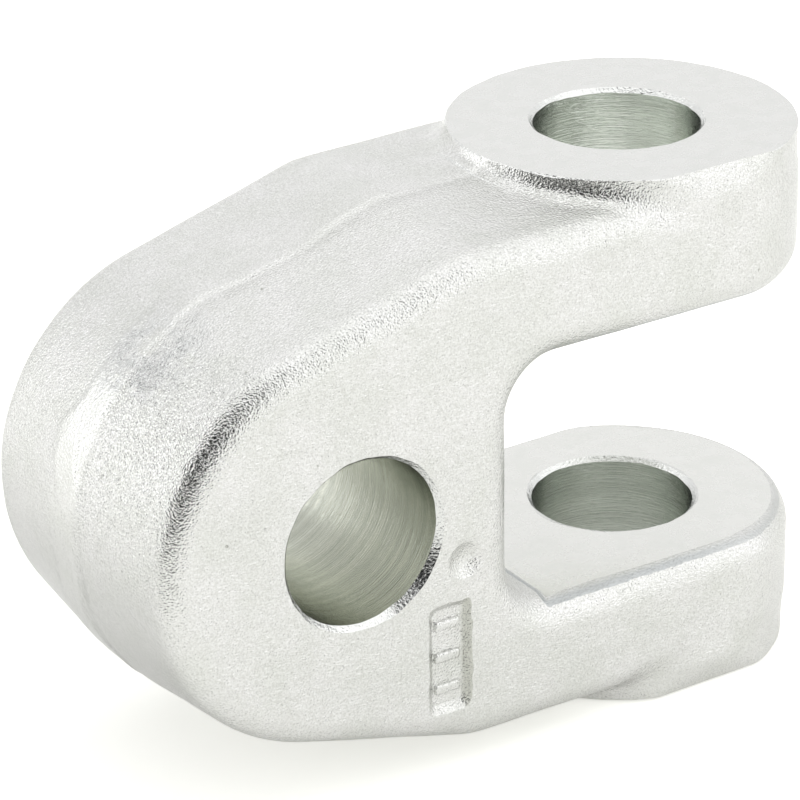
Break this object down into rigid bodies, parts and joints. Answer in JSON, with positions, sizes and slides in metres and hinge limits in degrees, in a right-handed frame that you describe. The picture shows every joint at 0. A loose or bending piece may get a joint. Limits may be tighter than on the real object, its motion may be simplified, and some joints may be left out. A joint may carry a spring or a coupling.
{
  "type": "clevis knuckle",
  "caption": "Drop-forged steel knuckle: a rounded hub with a plain cross bore, and a milled fork whose ears have raised bosses and one pin bore through both.",
  "frame": {"origin": "on the clevis pin's axis, half way between the two ears", "axes": "+X out of the fork's mouth, +Y along the cross bore and away from the marked face, +Z along the clevis pin"},
  "size_m": [0.1625, 0.069, 0.112],
  "materials": {
    "zinc_plated_steel": "bright zinc plate over a shot-blasted forged skin, with satin milled and bored faces"
  },
  "bodies": {
    "root": {"knuckle": "zinc_plated_steel"}
  },
  "joints": []
}
